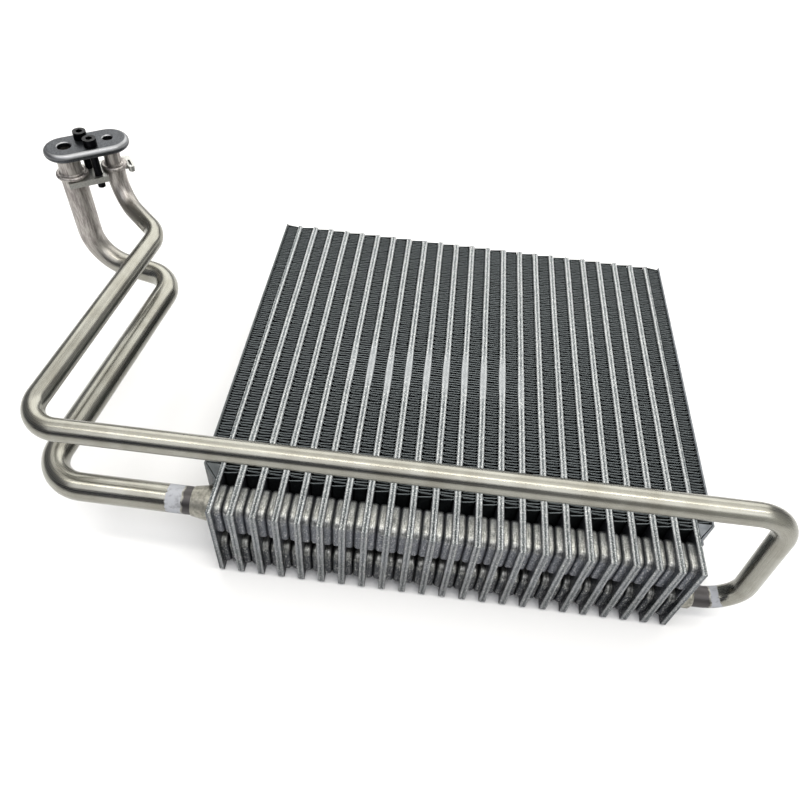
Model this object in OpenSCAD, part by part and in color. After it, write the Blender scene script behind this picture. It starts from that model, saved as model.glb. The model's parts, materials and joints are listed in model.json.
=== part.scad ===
// Laminated evaporator core: stamped tubes and corrugated fins stacked side by side,
// with a suction pipe, a liquid pipe and a two-port block.
// It lies on its back face. X runs across the tubes, Y from the tank end to the far end,
// and Z up through the core. The origin is the middle of the back face.

/* [Core] */
// Number of stamped tubes
tube_count = 23; // [5:1:23]
// Distance from one tube to the next
tube_pitch = 12; // [9:0.5:15]
// Thickness of a tube across both its sheets
tube_w = 3.9; // [3:0.1:4.4]
// Length of a tube, from the tank end to the far end
plate_len = 256; // [180:1:320]
// Depth of the core from front face to back face
core_depth = 65; // [58:1:80]
// Thickness of the sheet metal
sheet_t = 0.5; // [0.3:0.05:0.6]
// Width of the flange brazed round the edge of each tube
flange_w = 3; // [2:0.5:5]
// Width of the rib between the two passes of a tube
rib_w = 3; // [2:0.5:5]
// Length of the turn at the far end, where the two passes meet
turn_len = 16; // [8:1:30]
// How far the outer edges of a sheet are eased
edge_ease = 0.5; // [0.2:0.05:0.7]
// Depth of the groove along the brazed seam
seam_groove = 0.3; // [0.1:0.05:0.4]
// Thickness of the flat sheet that closes each end tube
end_sheet_t = 0.9; // [0.8:0.05:1.5]

/* [Tank cups] */
// Width of a cup along the tube
cup_w = 19.6; // [15:0.2:20]
// Length of a cup through the core's depth
cup_len = 25.2; // [20:0.2:26]
// Distance of the cups' middle from the tank end
cup_y = 13.4; // [13.2:0.2:15]
// Distance of each cup's middle from the nearer face of the core
cup_inset = 15.8; // [15.8:0.2:16.6]
// Rounding of a cup's corners
cup_corner_r = 5; // [3.6:0.2:7]
// Rounding of a cup's rim
cup_rim_r = 2.2; // [1.5:0.1:3]
// Width of the brazed land round a cup's passage
cup_land = 1.6; // [0.8:0.1:2]

/* [Fins] */
// Distance from one fin leg to the next
fin_leg = 1.95; // [1.6:0.05:6]
// Thickness of the fin strip
fin_t = 0.12; // [0.1:0.01:0.2]
// Distance from the tank end to the first fin leg
fin_start = 27; // [24:0.5:40]
// How far the fins lie below the core's faces
fin_recess = 0.8; // [0.3:0.1:2]

/* [Side plates] */
// Thickness of a side plate
side_t = 1; // [0.8:0.1:1.5]
// Distance from the tank end to the bend of a side plate
side_bend_y = 32; // [29:0.5:45]
// Distance from the tank end to where a side plate meets the end tube
side_foot_y = 21.5; // [16:0.5:28]
// Length of the foot brazed to the end tube
side_foot = 3; // [2:0.5:6]

/* [Suction pipe] */
// Outside diameter of the suction pipe
suction_d = 16; // [14:0.1:18]
// Wall of the suction pipe
suction_wall = 1.3; // [1:0.1:2]
// Distance of the pipe's tank joint from the tank end
suction_y = 15.6; // [13:0.1:17]
// How far outside the core the lower bend lies
suction_out = 92; // [70:0.5:120]
// How far outside the core the upper bend lies
suction_elbow_out = 70.4; // [50:0.1:100]
// Distance of the upper bend from the far end
suction_elbow_back = 59.8; // [50:0.1:90]
// Radius of the lower bend, on the centre line
suction_r1 = 22; // [18:0.5:26]
// Radius of the upper bend
suction_r2 = 20; // [18:0.5:26]
// Radius of the bend up to the port block
suction_r3 = 24; // [18:0.5:26]

/* [Liquid pipe] */
// Outside diameter of the liquid pipe
liquid_d = 12.7; // [11:0.1:14]
// Wall of the liquid pipe
liquid_wall = 1.1; // [0.8:0.1:1.6]
// Distance of the pipe's tank joint from the tank end
liquid_y = 13.9; // [12:0.1:16]
// How far outside the core the side bend lies
liquid_out = 27.9; // [27:0.1:50]
// How much nearer to the core the pipe is at the height of the crossing
liquid_lean = 7.4; // [0:0.1:12]
// Height of the crossing above the front face, on the side of the first bend
liquid_rise_right = 41.2; // [30:0.1:60]
// Height of the crossing above the front face, on the side of the port block
liquid_rise_left = 26.4; // [20:0.1:50]
// Distance of the crossing from the tank end, on the side of the port block
liquid_cross_y = 22.3; // [16:0.1:30]
// How far outside the core the crossing's end lies
liquid_far_out = 92.5; // [75:0.5:120]
// How far outside the core the upper bend lies
liquid_elbow_out = 73.9; // [55:0.1:100]
// Distance of the upper bend from the far end
liquid_elbow_back = 63.8; // [55:0.1:90]
// Radius of the bends, on the centre line
liquid_r = 19; // [16:0.5:20]

/* [Port block] */
// How far outside the core the block's middle lies
port_out = 121.2; // [115:0.1:150]
// Distance of the block's middle from the far end
port_back = 37.2; // [30:0.1:45]
// Height of the block's top above the front face
port_rise = 73.2; // [70:0.1:110]
// Turn of the block about the vertical
port_turn = 35; // [30:1:40]
// Distance between the two ports
port_gap = 27.5; // [26:0.1:32]
// Width of the block, which is also its end diameter
block_w = 26.4; // [25:0.1:30]
// Thickness of the block
block_t = 6; // [5.9:0.1:8]
// Rounding of the block's top and bottom edges
block_edge_r = 2.9; // [1:0.1:2.9]
// Diameter of the suction port
suction_port_d = 8.8; // [6:0.1:11]
// Diameter of the liquid port
liquid_port_d = 6.3; // [5:0.1:8]
// Width of the bevel round each port
port_bevel = 0.5; // [0.2:0.1:0.8]
// Depth of the sockets that the pipe ends enter
socket_depth = 3; // [2:0.1:3.5]
// Cross-section diameter of the seal round each pipe end
seal_d = 1.8; // [1.4:0.1:2]
// Outside diameter of the suction pipe above its bead
suction_stub_d = 14.4; // [13:0.1:15]
// Outside diameter of the liquid pipe above its bead
liquid_stub_d = 10.6; // [10:0.1:11.5]
// Length of pipe between the block and the bead
stub_len = 12; // [9:0.5:12.5]
// Height of the bead round each pipe
bead_h = 3; // [2:0.1:4]
// How far the bead stands out from the pipe
bead_out = 2.2; // [1.5:0.1:2.8]

/* [Clamp] */
// Thickness of the clamp plate under the beads
clamp_t = 4; // [3:0.1:4.5]
// Width of the clamp plate
clamp_w = 21; // [19:0.5:26]
// Clearance of the clamp plate's holes round the pipes
clamp_gap = 0.3; // [0.1:0.05:0.6]
// How far the front tine reaches past the middle of the suction pipe
tine_reach = 4.8; // [0:0.1:7]
// Distance of the ear from the middle of the liquid pipe
ear_out = 10.3; // [9.4:0.1:12]
// Width of the ear
ear_w = 4.2; // [3.6:0.1:5]
// How far the ear reaches in front of the liquid pipe's middle
ear_reach = 3; // [0:0.1:5]
// Width of the slot in the ear
ear_slot_w = 1.6; // [1:0.1:2]
// Length of the slot in the ear
ear_slot = 8; // [4:0.5:10]
// Distance between the two clamp screws
screw_gap = 11.8; // [11.6:0.1:13]
// Turn of the screws from straight across the block
screw_turn = 17.7; // [14:0.1:20]
// Thread diameter of the clamp screws
screw_d = 5; // [4:0.5:5]
// Head diameter of the clamp screws
screw_head_d = 8.5; // [7:0.1:9]
// Head height of the clamp screws
screw_head_h = 5; // [4:0.1:6]
// Width across flats of the socket in the screw heads
screw_socket = 4; // [3:0.1:4.2]
// Length of the screw tips below the clamp plate
screw_tip = 5; // [2:0.5:8]
// Clearance round the screws
screw_play = 0.25; // [0.1:0.05:0.4]

/* [Ferrules] */
// Diameter of the suction ferrule's bulge
suction_ferrule_d = 19.8; // [19:0.1:22]
// Length of the suction ferrule's bulge
suction_bulge = 8; // [6:0.5:12]
// How much narrower the suction ferrule is at both ends of its bulge
bulge_fall = 0.7; // [0.3:0.1:1]
// Length of the suction ferrule's cone
suction_cone = 4.5; // [3:0.5:8]
// Diameter of the liquid ferrule
liquid_ferrule_d = 15.4; // [15:0.1:18]
// Length of the liquid ferrule
liquid_ferrule_len = 11; // [6:0.5:12]
// Length of the liquid ferrule's nose
liquid_nose = 1.5; // [1:0.1:3]
// Wall left at the outer end of each ferrule
ferrule_lip = 0.4; // [0.2:0.1:0.8]
// Clearance of the side plates round the ferrules
ferrule_gap = 0.4; // [0.3:0.1:1]
// How far each pipe enters its end tube
pipe_entry = 0.9; // [0.5:0.1:0.9]

/* [Hidden] */
$fn = 48;
over = 1;
mark_len = 0.8;
mark_out = 0.05;
near_y = -plate_len / 2;
far_y = plate_len / 2;
half_w = tube_w / 2;
cup_rise = tube_pitch / 2 - half_w;
fin_w = tube_pitch - tube_w;
stack_half = (tube_count - 1) / 2 * tube_pitch;
end_face = stack_half + end_sheet_t;
core_half = end_face + fin_w + side_t;
front_z = core_depth - cup_inset;
rear_z = cup_inset;
legs = floor((plate_len - fin_start) / fin_leg);
outer_skip = max(0, ceil((side_bend_y - fin_start) / fin_leg));
passage_r = cup_w / 2 - cup_rim_r - cup_land;
passage_len = cup_len - 2 * (cup_rim_r + cup_land);
port_x = -core_half - port_out;
port_y = far_y - port_back;
port_top = core_depth + port_rise;
block_bottom = port_top - block_t;
bead_top = block_bottom - stub_len;
clamp_top = bead_top - bead_h;
bead_mid = bead_top - bead_h / 2;
clamp_bottom = clamp_top - clamp_t;
pipe_top = block_bottom + socket_depth;
port_dir = [cos(port_turn), sin(port_turn)];
suction_port = [port_x, port_y] - port_gap / 2 * port_dir;
liquid_port = [port_x, port_y] + port_gap / 2 * port_dir;

suction_route = [
    [-stack_half - end_sheet_t + pipe_entry, near_y + suction_y, front_z],
    [-core_half - suction_out, near_y + suction_y, front_z],
    [-core_half - suction_elbow_out, far_y - suction_elbow_back, front_z],
    [suction_port[0], suction_port[1], front_z],
    [suction_port[0], suction_port[1], bead_mid],
];
suction_bends = [suction_r1, suction_r2, suction_r3];

liquid_route = [
    [end_face - pipe_entry, near_y + liquid_y, rear_z],
    [core_half + liquid_out, near_y + liquid_y, rear_z],
    [core_half + liquid_out - liquid_lean, near_y + liquid_y, core_depth + liquid_rise_right],
    [-core_half - liquid_far_out, near_y + liquid_cross_y, core_depth + liquid_rise_left],
    [-core_half - liquid_elbow_out, far_y - liquid_elbow_back, core_depth + liquid_rise_left],
    [liquid_port[0], liquid_port[1], core_depth + liquid_rise_left],
    [liquid_port[0], liquid_port[1], bead_mid],
];
liquid_bends = [liquid_r, liquid_r, liquid_r, liquid_r, liquid_r];

function two_digits(i) = str(i < 10 ? "0" : "", i);
function tube_name(i) = str("tube_", two_digits(i));
function fin_name(i) = str("fin_", two_digits(i));

function unit(v) = v / norm(v);
function tube_x(i) = (i - (tube_count + 1) / 2) * tube_pitch;

// Outline of a strip of even thickness that follows a path
function side_step(path, i) =
    let (a = unit(path[i] - path[max(i - 1, 0)] + (i == 0 ? path[1] - path[0] : [0, 0])))
    let (last = len(path) - 1)
    let (b = unit(path[min(i + 1, last)] - path[i] + (i == last ? path[last] - path[last - 1] : [0, 0])))
    let (m = unit(a + b))
    [-m[1], m[0]] / (m * a);
function strip(path, t) = concat(
    [for (i = [0:len(path) - 1]) path[i] + side_step(path, i) * t / 2],
    [for (i = [len(path) - 1:-1:0]) path[i] - side_step(path, i) * t / 2]
);

// Data of a bent pipe, worked out from the corners of its route
function leg_dir(p, i) = unit(p[i + 1] - p[i]);
function bend_angle(p, i) = acos(leg_dir(p, i) * leg_dir(p, i + 1));
function bend_normal(p, i) = unit(cross(leg_dir(p, i), leg_dir(p, i + 1)));
function bend_cut(p, r, i) = i < 0 || i > len(r) - 1 ? 0 : r[i] * tan(bend_angle(p, i) / 2);
function leg_len(p, r, i) = norm(p[i + 1] - p[i]) - bend_cut(p, r, i - 1) - bend_cut(p, r, i);
function bend_roll(p, i) =
    let (m = bend_normal(p, i - 1))
    let (n = bend_normal(p, i))
    atan2(cross(m, n) * leg_dir(p, i), m * n);

// Faint ring that the bending tool leaves where a leg meets a bend
module bend_mark(r) {
    translate([0, 0, -mark_len / 2])
        cylinder(r = r + mark_out, h = mark_len);
}

// One leg of a bent rod, then its bend and the legs after it
module rod_from(p, bends, r, extra, i) {
    last = len(bends);
    length = leg_len(p, bends, i);
    low = i == 0 ? -extra : mark_len / 4;
    high = i == last ? length + extra : length - mark_len / 4;
    translate([0, 0, low])
        cylinder(r = r, h = high - low);
    if (i > 0)
        bend_mark(r);
    if (i < last)
        translate([0, 0, length])
            rotate([0, 0, i == 0 ? 0 : bend_roll(p, i)]) {
                bend_mark(r);
                translate([bends[i], 0, 0])
                    rotate([90, 0, 180])
                        rotate_extrude(angle = bend_angle(p, i))
                            translate([bends[i], 0])
                                circle(r);
                translate([bends[i], 0, 0])
                    rotate([0, bend_angle(p, i), 0])
                        translate([-bends[i], 0, 0])
                            rod_from(p, bends, r, extra, i + 1);
            }
}

// A bent rod along a route, with a given radius at each corner
module bent_rod(p, bends, r, extra = 0) {
    z = leg_dir(p, 0);
    y = bend_normal(p, 0);
    x = cross(y, z);
    multmatrix([
        [x[0], y[0], z[0], p[0][0]],
        [x[1], y[1], z[1], p[0][1]],
        [x[2], y[2], z[2], p[0][2]],
        [0, 0, 0, 1],
    ])
        rod_from(p, bends, r, extra, 0);
}

// Outline of a rounded block seen from the end: half width r, height h, and its roundings
module block_outline(r, h, top_r, bottom_r, sides) {
    low_r = max(top_r, bottom_r);
    translate([sides == 1 ? 0 : low_r - r, 0])
        square([(r - low_r) * sides, h]);
    translate([sides == 1 ? 0 : -r, bottom_r])
        square([r * sides, h - top_r - bottom_r]);
    for (side = [3 - 2 * sides:2:1]) {
        translate([side * (r - top_r), h - top_r])
            circle(top_r);
        if (bottom_r > 0)
            translate([side * (r - bottom_r), bottom_r])
                circle(bottom_r);
    }
}

// Oblong with rounded rims along X, standing on its lower face
module oblong(r, straight, h, top_r, bottom_r = 0) {
    for (side = [0, 1])
        mirror([side, 0, 0])
            translate([straight / 2, 0, 0])
                rotate([0, 0, -90])
                    rotate_extrude(angle = 180)
                        block_outline(r, h, top_r, bottom_r, 1);
    translate([-straight / 2, 0, 0])
        rotate([90, 0, 90])
            linear_extrude(straight)
                block_outline(r, h, top_r, bottom_r, 2);
}

// Half section of a cup from its corner's middle outwards, with a rounded rim
module cup_edge(corner, h, rim) {
    square([corner - rim, h]);
    square([corner, h - rim]);
    translate([corner - rim, h - rim])
        circle(rim);
}

// Half section of the hollow inside a cup, with a sloping rim
module hollow_edge(corner, h, rim) {
    polygon([[0, 0], [corner, 0], [corner, h - rim], [corner - rim, h], [0, h]]);
}

// Rectangle with round corners whose sides all have the section given as the child
module round_box(length, width, corner, h) {
    translate([corner - length / 2, corner - width / 2, 0])
        cube([length - 2 * corner, width - 2 * corner, h]);
    for (end = [0, 1]) {
        mirror([end, 0, 0])
            translate([length / 2 - corner, width / 2 - corner, 0])
                rotate([90, 0, 0])
                    linear_extrude(width - 2 * corner)
                        children();
        mirror([0, end, 0])
            translate([corner - length / 2, width / 2 - corner, 0])
                rotate([90, 0, 90])
                    linear_extrude(length - 2 * corner)
                        children();
        for (side = [0, 1])
            mirror([end, 0, 0])
                mirror([0, side, 0])
                    translate([length / 2 - corner, width / 2 - corner, 0])
                        rotate_extrude(angle = 90)
                            children();
    }
}

module oblong_hole(r, straight, h) {
    for (x = [-straight / 2, straight / 2])
        translate([x, 0, 0])
            cylinder(r = r, h = h);
    translate([-straight / 2, -r, 0])
        cube([straight, 2 * r, h]);
}

// Section of a sheet: its inner face lies at 0, with a groove at the seam and eased outer edges
module sheet_section(size, w, ease) {
    polygon([
        [0, seam_groove],
        [seam_groove, 0],
        [w - ease, 0],
        [w, ease],
        [w, size - ease],
        [w - ease, size],
        [seam_groove, size],
        [0, size - seam_groove],
    ]);
}

module sheet_blank(w, ease) {
    intersection() {
        translate([0, far_y, 0])
            rotate([90, 0, 0])
                linear_extrude(plate_len)
                    sheet_section(core_depth, w, ease);
        translate([0, near_y, 0])
            linear_extrude(core_depth)
                sheet_section(plate_len, w, ease);
    }
}

// The two passes of a sheet, joined past the end of the rib
module passes(depth) {
    wide = core_depth - 2 * flange_w;
    difference() {
        translate([-over, near_y + flange_w, flange_w])
            cube([depth + over, plate_len - 2 * flange_w, wide]);
        translate([-2 * over, near_y, (core_depth - rib_w) / 2])
            cube([depth + 3 * over, plate_len - flange_w - turn_len, rib_w]);
    }
}

// Turns a form that stands on its face into a cup on a sheet
module at_cup(z, x) {
    translate([x, near_y + cup_y, z])
        rotate([90, 0, 90])
            rotate([0, 0, 90])
                children();
}

module cupped_sheet() {
    inner_corner = cup_corner_r - sheet_t;
    cup_h = cup_rise + sheet_t;
    difference() {
        union() {
            sheet_blank(half_w, edge_ease);
            for (z = [front_z, rear_z])
                at_cup(z, half_w - sheet_t)
                    round_box(cup_len, cup_w, cup_corner_r, cup_h)
                        cup_edge(cup_corner_r, cup_h, cup_rim_r);
        }
        passes(half_w - sheet_t);
        for (z = [front_z, rear_z]) {
            at_cup(z, half_w - 2 * sheet_t)
                round_box(cup_len - 2 * sheet_t, cup_w - 2 * sheet_t, inner_corner, cup_h)
                    hollow_edge(inner_corner, cup_h, cup_rim_r - sheet_t);
            at_cup(z, half_w)
                oblong_hole(passage_r, passage_len - 2 * passage_r, cup_rise + over);
        }
    }
}

// Flat sheet of an end tube, with the port for one pipe
module end_sheet(port_r, y, z) {
    difference() {
        sheet_blank(end_sheet_t, edge_ease / 2);
        translate([-over, near_y + y, z])
            rotate([0, 90, 0])
                cylinder(r = port_r, h = end_sheet_t + 2 * over);
    }
}

module tube(i) {
    color("silver")
        translate([tube_x(i), 0, 0]) {
            if (i == tube_count)
                end_sheet(liquid_d / 2, liquid_y, rear_z);
            else
                cupped_sheet();
            mirror([1, 0, 0])
                if (i == 1)
                    end_sheet(suction_d / 2, suction_y, front_z);
                else
                    cupped_sheet();
        }
}

// Corrugated strip in the space to the left of tube i
module fin(i) {
    outer = i == 1 ? -1 : i == tube_count + 1 ? 1 : 0;
    x = outer == 0 ? tube_x(i) - tube_pitch / 2 : outer * (end_face + fin_w / 2);
    slope = fin_leg / fin_w;
    crest = fin_t * sqrt(1 + 1 / (slope * slope));
    inner = fin_w / 2 - crest;
    first = outer == 0 ? 0 : outer_skip;
    color("slategray")
        translate([x, near_y + fin_start, fin_recess])
            linear_extrude(core_depth - 2 * fin_recess)
                polygon(concat(
                    [for (k = [first:legs]) [k % 2 == 0 ? -inner : fin_w / 2, k * fin_leg]],
                    [for (k = [legs:-1:first]) [k % 2 == 0 ? -fin_w / 2 : inner, k * fin_leg]]
                ));
}

// Side plate with its lower end bent in to the end tube and cut back round the ferrule
module side_plate(side, ferrule_r, y, z) {
    x = core_half - side_t / 2;
    foot_x = end_face + side_t / 2;
    color("gainsboro")
        mirror([side < 0 ? 1 : 0, 0, 0])
            difference() {
                linear_extrude(core_depth)
                    polygon(strip([
                        [foot_x, near_y + side_foot_y - side_foot],
                        [foot_x, near_y + side_foot_y],
                        [x, near_y + side_bend_y - side_t],
                        [x, far_y],
                    ], side_t));
                translate([end_face - over, near_y + y, z])
                    rotate([0, 90, 0])
                        cylinder(r = ferrule_r + ferrule_gap, h = core_half - end_face + 2 * over);
            }
}

module side_plate_left() {
    side_plate(-1, suction_ferrule_d / 2, suction_y, front_z);
}

module side_plate_right() {
    side_plate(1, liquid_ferrule_d / 2, liquid_y, rear_z);
}

// Bead rolled round a pipe below the port block
module bead(at, d) {
    translate([at[0], at[1], clamp_top])
        rotate_extrude() {
            square([d / 2 + bead_out - bead_h / 2, bead_h]);
            translate([d / 2 + bead_out - bead_h / 2, bead_h / 2])
                circle(bead_h / 2);
        }
}

module pipe(route, bends, d, stub_d, wall, port) {
    difference() {
        union() {
            bent_rod(route, bends, d / 2);
            bead(port, d);
            translate([port[0], port[1], bead_mid])
                cylinder(d = stub_d, h = pipe_top - bead_mid);
        }
        bent_rod(route, bends, d / 2 - wall, over);
        translate([port[0], port[1], bead_mid])
            cylinder(r = stub_d / 2 - wall, h = pipe_top - bead_mid + over);
    }
}

module suction_pipe() {
    color("lightgray")
        pipe(suction_route, suction_bends, suction_d, suction_stub_d, suction_wall, suction_port);
}

module liquid_pipe() {
    color("lightgray")
        pipe(liquid_route, liquid_bends, liquid_d, liquid_stub_d, liquid_wall, liquid_port);
}

// Ferrules, turned about the pipe's axis from the end tube's face outwards
module suction_ferrule() {
    bulge = suction_ferrule_d / 2;
    end = bulge - bulge_fall;
    color("darkgray")
        translate([-end_face, near_y + suction_y, front_z])
            rotate([0, -90, 0])
                difference() {
                    union() {
                        cylinder(r1 = end, r2 = bulge, h = suction_bulge / 2);
                        translate([0, 0, suction_bulge / 2])
                            cylinder(r1 = bulge, r2 = end, h = suction_bulge / 2);
                        translate([0, 0, suction_bulge])
                            cylinder(r1 = end, r2 = suction_d / 2 + ferrule_lip, h = suction_cone);
                    }
                    translate([0, 0, -over])
                        cylinder(r = suction_d / 2, h = suction_bulge + suction_cone + 2 * over);
                }
}

module liquid_ferrule() {
    sleeve = liquid_ferrule_len - liquid_nose;
    outer_r = liquid_ferrule_d / 2;
    color("darkgray")
        translate([end_face, near_y + liquid_y, rear_z])
            rotate([0, 90, 0])
                difference() {
                    union() {
                        cylinder(r = outer_r, h = sleeve);
                        translate([0, 0, sleeve])
                            cylinder(r1 = outer_r, r2 = liquid_d / 2 + ferrule_lip, h = liquid_nose);
                    }
                    translate([0, 0, -over])
                        cylinder(r = liquid_d / 2, h = liquid_ferrule_len + 2 * over);
                }
}

module at_block(z) {
    translate([port_x, port_y, z])
        rotate([0, 0, port_turn])
            children();
}

module at_screws(z) {
    at_block(z)
        for (side = [-1, 1])
            rotate([0, 0, screw_turn])
                translate([0, side * screw_gap / 2, 0])
                    children();
}

// Port bored through the block, with a bevel at the top and the pipe's socket below
module port_bore(port_d, stub_d) {
    translate([0, 0, -over])
        cylinder(d = port_d, h = block_t + 2 * over);
    translate([0, 0, block_t - port_bevel])
        cylinder(r1 = port_d / 2, r2 = port_d / 2 + 2 * port_bevel, h = 2 * port_bevel);
    translate([0, 0, -over])
        cylinder(r = stub_d / 2 + seal_d, h = socket_depth + over);
}

module port_plate() {
    color("silver")
        difference() {
            at_block(block_bottom)
                oblong(block_w / 2, port_gap, block_t, block_edge_r, block_edge_r);
            at_block(block_bottom) {
                translate([-port_gap / 2, 0, 0])
                    port_bore(suction_port_d, suction_stub_d);
                translate([port_gap / 2, 0, 0])
                    port_bore(liquid_port_d, liquid_stub_d);
            }
            at_screws(block_bottom - over)
                cylinder(d = screw_d + 2 * screw_play, h = block_t + 2 * over);
        }
}

module port_seals() {
    color("darkgreen")
        at_block(pipe_top - seal_d / 2)
            for (p = [[-port_gap / 2, suction_stub_d], [port_gap / 2, liquid_stub_d]])
                translate([p[0], 0, 0])
                    rotate_extrude()
                        translate([p[1] / 2 + seal_d / 2, 0])
                            circle(seal_d / 2);
}

// Retainer under the beads: a middle web with a tine round each pipe and a slotted ear
module clamp_plate() {
    suction_gap_r = suction_d / 2 + clamp_gap;
    liquid_gap_r = liquid_d / 2 + clamp_gap;
    ear_x = port_gap / 2 + ear_out;
    ear_top = clamp_w / 2 - ear_w / 2;
    color("gray")
        difference() {
            at_block(clamp_bottom) {
                translate([suction_gap_r - port_gap / 2, -clamp_w / 2, 0])
                    cube([port_gap - suction_gap_r - liquid_gap_r, clamp_w, clamp_t]);
                translate([-port_gap / 2 - tine_reach, -clamp_w / 2, 0])
                    cube([port_gap / 2 + tine_reach, clamp_w / 2, clamp_t]);
                cube([ear_x, clamp_w / 2, clamp_t]);
                translate([ear_x, (ear_top - ear_reach) / 2, 0])
                    rotate([0, 0, 90])
                        oblong_hole(ear_w / 2, ear_top + ear_reach, clamp_t);
            }
            at_block(clamp_bottom - over) {
                translate([-port_gap / 2, 0, 0])
                    cylinder(r = suction_gap_r, h = clamp_t + 2 * over);
                translate([port_gap / 2, 0, 0])
                    cylinder(r = liquid_gap_r, h = clamp_t + 2 * over);
                translate([ear_x, (ear_slot - ear_slot_w) / 2 - ear_reach, 0])
                    rotate([0, 0, 90])
                        oblong_hole(ear_slot_w / 2, ear_slot - ear_slot_w, clamp_t + 2 * over);
            }
            at_screws(clamp_bottom - over)
                cylinder(d = screw_d + 2 * screw_play, h = clamp_t + 2 * over);
        }
}

module clamp_screws() {
    shank = port_top - clamp_bottom + screw_tip;
    color("black")
        at_screws(port_top)
            difference() {
                union() {
                    cylinder(d = screw_head_d, h = screw_head_h);
                    translate([0, 0, -shank])
                        cylinder(d = screw_d, h = shank);
                }
                translate([0, 0, screw_head_h / 2])
                    cylinder(d = screw_socket / cos(30), h = screw_head_h, $fn = 6);
            }
}

for (i = [1:tube_count])
    tube(i);
for (i = [1:tube_count + 1])
    fin(i);
side_plate_left();
side_plate_right();
suction_pipe();
liquid_pipe();
suction_ferrule();
liquid_ferrule();
port_plate();
port_seals();
clamp_plate();
clamp_screws();
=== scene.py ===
import json
import math
import random

import bmesh
import bpy
from mathutils import Matrix, Vector, noise


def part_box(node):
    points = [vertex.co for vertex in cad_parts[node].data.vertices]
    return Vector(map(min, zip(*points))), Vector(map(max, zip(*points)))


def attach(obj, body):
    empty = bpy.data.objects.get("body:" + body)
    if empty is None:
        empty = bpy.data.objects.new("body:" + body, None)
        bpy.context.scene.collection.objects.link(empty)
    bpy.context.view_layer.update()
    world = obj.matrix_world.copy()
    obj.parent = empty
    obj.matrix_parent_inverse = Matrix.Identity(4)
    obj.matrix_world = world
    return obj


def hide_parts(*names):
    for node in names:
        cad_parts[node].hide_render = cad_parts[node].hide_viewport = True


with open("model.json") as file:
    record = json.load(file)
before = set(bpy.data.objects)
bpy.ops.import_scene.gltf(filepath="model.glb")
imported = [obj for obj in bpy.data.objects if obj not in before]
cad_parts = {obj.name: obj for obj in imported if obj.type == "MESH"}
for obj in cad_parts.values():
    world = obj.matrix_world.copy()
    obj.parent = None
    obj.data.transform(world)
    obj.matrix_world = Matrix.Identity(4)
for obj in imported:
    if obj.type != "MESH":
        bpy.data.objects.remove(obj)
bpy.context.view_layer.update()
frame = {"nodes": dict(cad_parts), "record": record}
nodes = frame["nodes"]
mm = 0.001
tubeCount = sum(name.startswith("tube_") for name in nodes)


# Materials

def hexColour(code):
    # an sRGB hex colour as the linear values that Blender's sockets take
    shares = [int(code[i:i + 2], 16) / 255 for i in (0, 2, 4)]
    linear = [s / 12.92 if s <= 0.04045 else ((s + 0.055) / 1.055) ** 2.4 for s in shares]
    return (*linear, 1.0)


def startMaterial(name):
    material = bpy.data.materials.new(name)
    material.use_nodes = True
    return material, material.node_tree.nodes["Principled BSDF"]


def addNode(tree, kind, inputs=None, **settings):
    # each input is a value, or the socket that feeds it
    node = tree.nodes.new(kind)
    for name, value in settings.items():
        setattr(node, name, value)
    for name, value in (inputs or {}).items():
        if isinstance(value, bpy.types.NodeSocket):
            tree.links.new(value, node.inputs[name])
        else:
            node.inputs[name].default_value = value
    return node


# several colours here stand in for light: painted shade low down and at the cup joints, painted light on all
# that looks up, a painted highlight along the sheet edges, and painted glints
brazedLook = {
    "sheet": "64676E", "lower": "303338", "lowerMm": (34.0, 27.0), "litDust": "CACAC3", "thinDustAndShade": "585956",
    "rim": "727779", "rimEdgeHighlight": "A2A5A6", "glint": "E4E4E0", "stain": "34363C", "pressed": "96999B",
    "pressedShare": 0.7, "bloomMm": 5.0, "grainMm": 0.7, "grainDepthMm": 0.05, "grainBump": 0.8,
    "pitchMm": 12.0, "rimTopMm": 64.55, "rimFrontMm": -127.55, "rimFadeMm": 0.2, "rimFrontShare": 0.55,
    "rimSideMm": (0.55, 1.0), "jointMm": (5.9, 4.7), "jointShadeShare": 0.15, "upFull": 0.95,
    "frontLightFromMm": -107.0, "frontLightToMm": -120.0, "dustPatch": (0.3, 0.6), "dustLeast": 0.55,
    "runMm": (0.8, 6.0), "runPatch": (0.3, 0.62), "runLeast": 0.1, "stainPatch": (0.5, 0.3),
    "stainMost": 0.6, "glintPatch": (0.54, 0.7), "roughPatch": (0.3, 0.7), "rough": (0.4, 0.58),
}


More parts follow.
